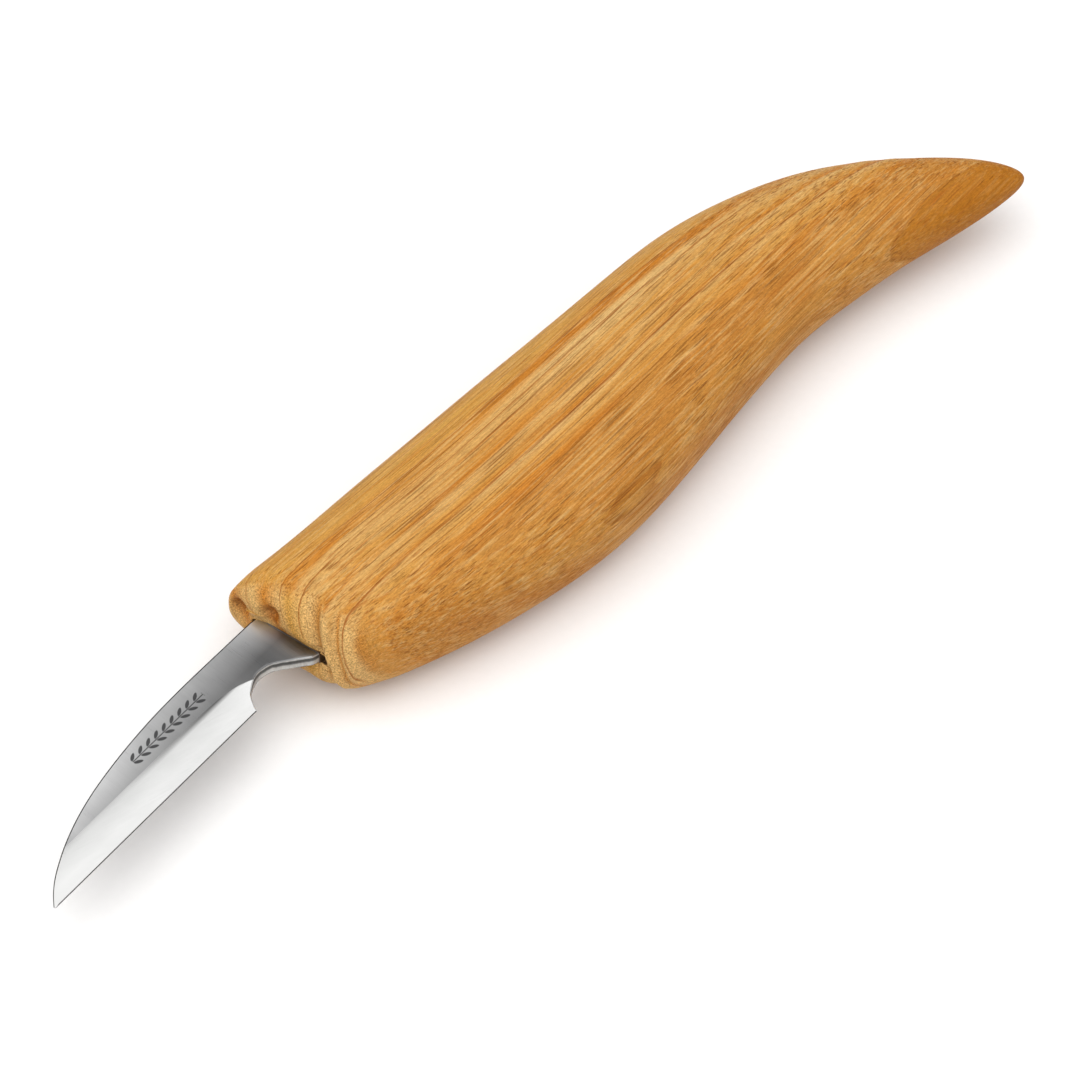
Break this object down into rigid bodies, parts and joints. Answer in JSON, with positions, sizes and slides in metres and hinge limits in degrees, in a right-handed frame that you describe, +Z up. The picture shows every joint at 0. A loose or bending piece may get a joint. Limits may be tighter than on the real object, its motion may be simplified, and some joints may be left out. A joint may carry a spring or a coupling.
{
  "type": "whittling knife",
  "caption": "Fixed-blade carving knife: a short flat-ground blade with a sharpening notch, glued by its tang into a curved one-piece wooden handle.",
  "frame": {"origin": "middle of the whole knife's underside, as it lies on its side on a table: the middle of its box in X and Y, at the height of the lower sanded flat", "axes": "+X from the blade's point to the handle's tail, +Y to the blade's spine side, +Z up out of the table, across the handle's thickness"},
  "size_m": [0.1746, 0.031, 0.0184],
  "materials": {
    "ash_wood": "open-grained ash, sanded, satin oil",
    "blade_steel": "satin-ground flats and polished bevels",
    "adhesive": "hardened amber resin"
  },
  "bodies": {
    "root": {"handle": "ash_wood", "blade": "blade_steel", "tang_adhesive": "adhesive"}
  },
  "joints": []
}
